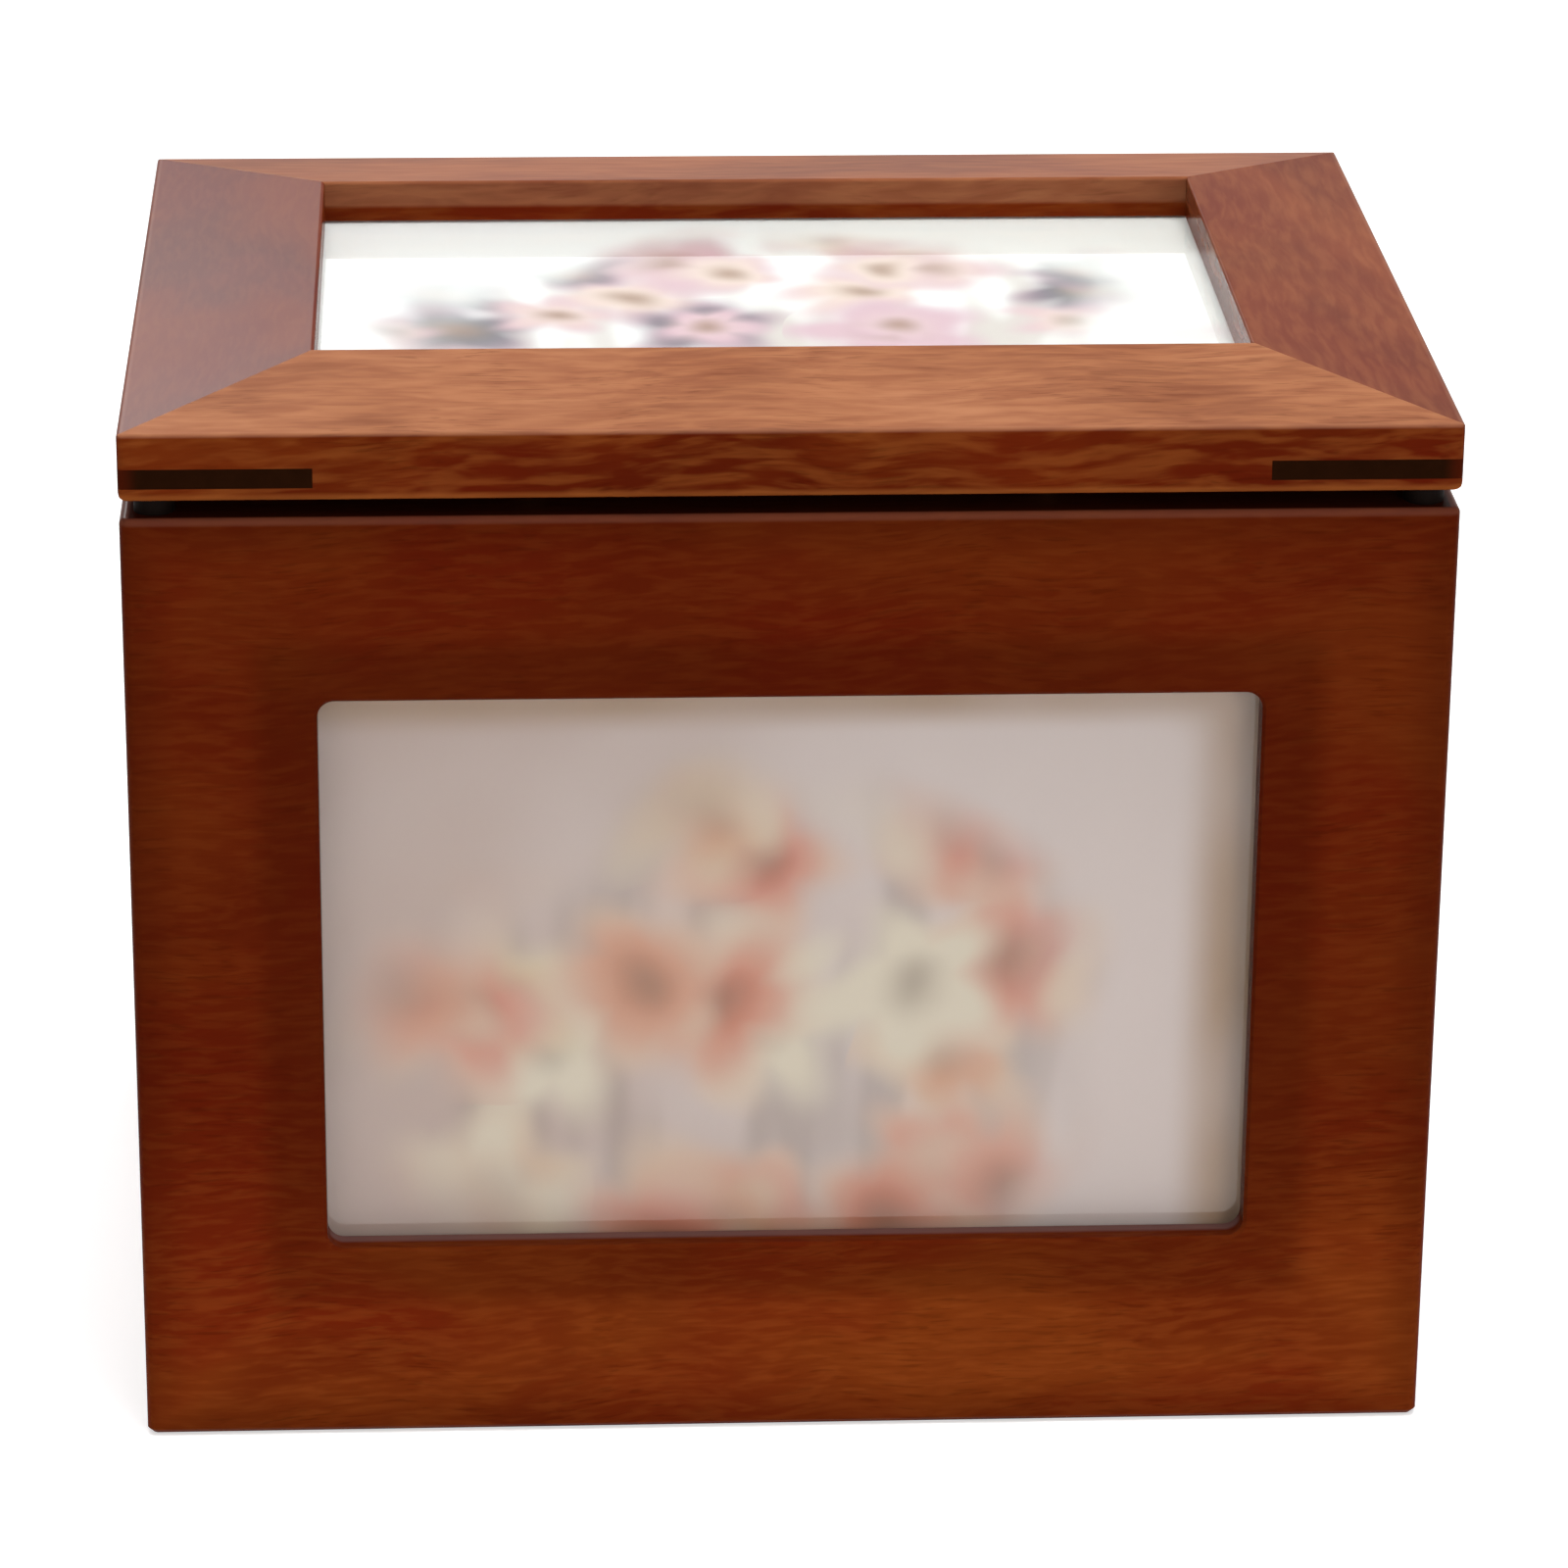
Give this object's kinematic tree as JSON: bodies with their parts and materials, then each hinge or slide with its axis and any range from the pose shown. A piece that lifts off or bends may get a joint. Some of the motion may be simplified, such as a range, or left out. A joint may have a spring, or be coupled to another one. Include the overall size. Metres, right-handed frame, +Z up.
{
  "type": "photo storage box",
  "caption": "Hinged wooden keepsake box for 4 x 6 in prints, with a glazed picture frame in its front and another in its bevelled, keyed lid.",
  "frame": {"origin": "on the table, under the middle of the case's plan", "axes": "+X to the right seen from the front, +Y to the hinges at the back, +Z up"},
  "size_m": [0.196, 0.15, 0.1653],
  "materials": {
    "stained_wood": "mahogany stain under satin lacquer",
    "key_wood": "dark hardwood spline under satin lacquer",
    "glass": "clear picture glass",
    "front_print": "gloss photo print",
    "lid_print": "gloss photo print",
    "board": "raw fibre board",
    "base_felt": "pressed felt",
    "lining_felt": "pressed felt",
    "bumper_rubber": "moulded rubber",
    "screw_brass": "brass plated",
    "button_brass": "stamped, brass plated",
    "hinge_brass": "extruded and polished brass"
  },
  "bodies": {
    "case": {"back_panel": "stained_wood", "base_felt": "base_felt", "bottom_panel": "board", "case_hinge_screws": "screw_brass", "floor_lining": "lining_felt", "front_backing_board": "board", "front_backing_felt": "lining_felt", "front_button_screws": "screw_brass", "front_glass": "glass", "front_panel": "stained_wood", "front_print": "front_print", "left_hinge_case_leaf": "hinge_brass", "left_hinge_pin": "hinge_brass", "left_side": "stained_wood", "right_hinge_case_leaf": "hinge_brass", "right_hinge_pin": "hinge_brass", "right_side": "stained_wood", "rim_bumpers": "bumper_rubber"},
    "lid": {"left_hinge_lid_leaf": "hinge_brass", "lid_back_rail": "stained_wood", "lid_backing_board": "board", "lid_backing_felt": "lining_felt", "lid_button_screws": "screw_brass", "lid_front_rail": "stained_wood", "lid_glass": "glass", "lid_hinge_screws": "screw_brass", "lid_key_back_left": "key_wood", "lid_key_back_right": "key_wood", "lid_key_front_left": "key_wood", "lid_key_front_right": "key_wood", "lid_left_stile": "stained_wood", "lid_print": "lid_print", "lid_right_stile": "stained_wood", "right_hinge_lid_leaf": "hinge_brass"},
    "front_button_low_left": {"front_button_low_left": "button_brass"},
    "front_button_low_right": {"front_button_low_right": "button_brass"},
    "front_button_top_left": {"front_button_top_left": "button_brass"},
    "front_button_top_right": {"front_button_top_right": "button_brass"},
    "lid_button_back_left": {"lid_button_back_left": "button_brass"},
    "lid_button_back_right": {"lid_button_back_right": "button_brass"},
    "lid_button_front_left": {"lid_button_front_left": "button_brass"},
    "lid_button_front_right": {"lid_button_front_right": "button_brass"}
  },
  "joints": [
    {"name": "lid_hinge", "type": "hinge", "parent": "case", "child": "lid", "pos_m": [0, 0.0745, 0.1496], "axis": [-1, 0, 0], "range_deg": [0, 95]},
    {"name": "front_button_top_left_turn", "type": "hinge", "parent": "case", "child": "front_button_top_left", "pos_m": [-0.038, -0.0626, 0.13125], "axis": [0, 1, 0], "continuous": true},
    {"name": "front_button_top_right_turn", "type": "hinge", "parent": "case", "child": "front_button_top_right", "pos_m": [0.038, -0.0626, 0.13125], "axis": [0, 1, 0], "continuous": true},
    {"name": "front_button_low_left_turn", "type": "hinge", "parent": "case", "child": "front_button_low_left", "pos_m": [-0.038, -0.0626, 0.01965], "axis": [0, 1, 0], "continuous": true},
    {"name": "front_button_low_right_turn", "type": "hinge", "parent": "case", "child": "front_button_low_right", "pos_m": [0.038, -0.0626, 0.01965], "axis": [0, 1, 0], "continuous": true},
    {"name": "lid_button_front_left_turn", "type": "hinge", "parent": "lid", "child": "lid_button_front_left", "pos_m": [-0.038, -0.0558, 0.1508], "axis": [0, 0, -1], "continuous": true},
    {"name": "lid_button_front_right_turn", "type": "hinge", "parent": "lid", "child": "lid_button_front_right", "pos_m": [0.038, -0.0558, 0.1508], "axis": [0, 0, -1], "continuous": true},
    {"name": "lid_button_back_left_turn", "type": "hinge", "parent": "lid", "child": "lid_button_back_left", "pos_m": [-0.038, 0.0558, 0.1508], "axis": [0, 0, -1], "continuous": true},
    {"name": "lid_button_back_right_turn", "type": "hinge", "parent": "lid", "child": "lid_button_back_right", "pos_m": [0.038, 0.0558, 0.1508], "axis": [0, 0, -1], "continuous": true}
  ]
}
